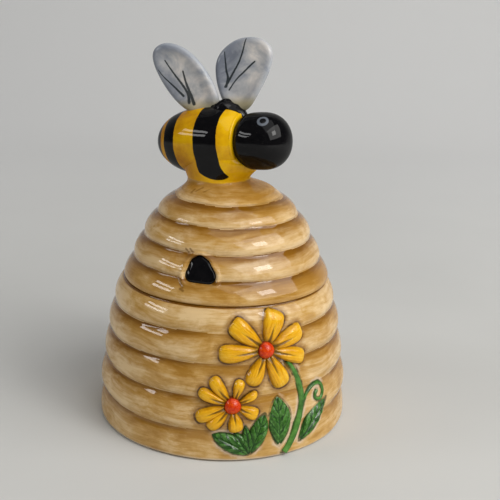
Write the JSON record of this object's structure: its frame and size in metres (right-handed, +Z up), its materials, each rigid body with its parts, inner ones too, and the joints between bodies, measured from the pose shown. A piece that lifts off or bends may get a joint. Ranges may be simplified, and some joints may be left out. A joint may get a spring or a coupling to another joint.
{
  "type": "honey pot",
  "caption": "Glazed ceramic honey pot shaped like a straw beehive with raised daisies, and a lift-off domed lid that carries a large bee as its knob.",
  "frame": {"origin": "centre of the flat underside of the pot", "axes": "+Z is up along the hive's axis, -Y is the side with the doorway, +X is to the right of the doorway"},
  "size_m": [0.0944, 0.0948, 0.1443],
  "materials": {
    "straw_glaze": "gloss",
    "petal_glaze": "gloss",
    "centre_glaze": "gloss",
    "leaf_glaze": "gloss",
    "black_glaze": "gloss",
    "bee_glaze": "gloss",
    "wing_glaze": "gloss"
  },
  "bodies": {
    "pot": {"pot_body": "straw_glaze", "large_flower_petals": "petal_glaze", "large_flower_centre": "centre_glaze", "small_flower_petals": "petal_glaze", "small_flower_centre": "centre_glaze", "flower_stem": "leaf_glaze", "curled_tendril": "leaf_glaze", "leaf_cluster": "leaf_glaze", "leaf_upright": "leaf_glaze", "leaf_right": "leaf_glaze"},
    "lid": {"lid_shell": "straw_glaze", "doorway": "black_glaze", "bee_neck": "bee_glaze", "bee_body": "bee_glaze", "bee_head": "black_glaze", "bee_eyes": "black_glaze", "wing_mound": "black_glaze", "rear_wing": "wing_glaze", "front_wing": "wing_glaze"}
  },
  "joints": [
    {"name": "lid_lift", "type": "slide", "parent": "pot", "child": "lid", "axis": [0, 0, 1], "range_m": [0, 0.08]}
  ]
}
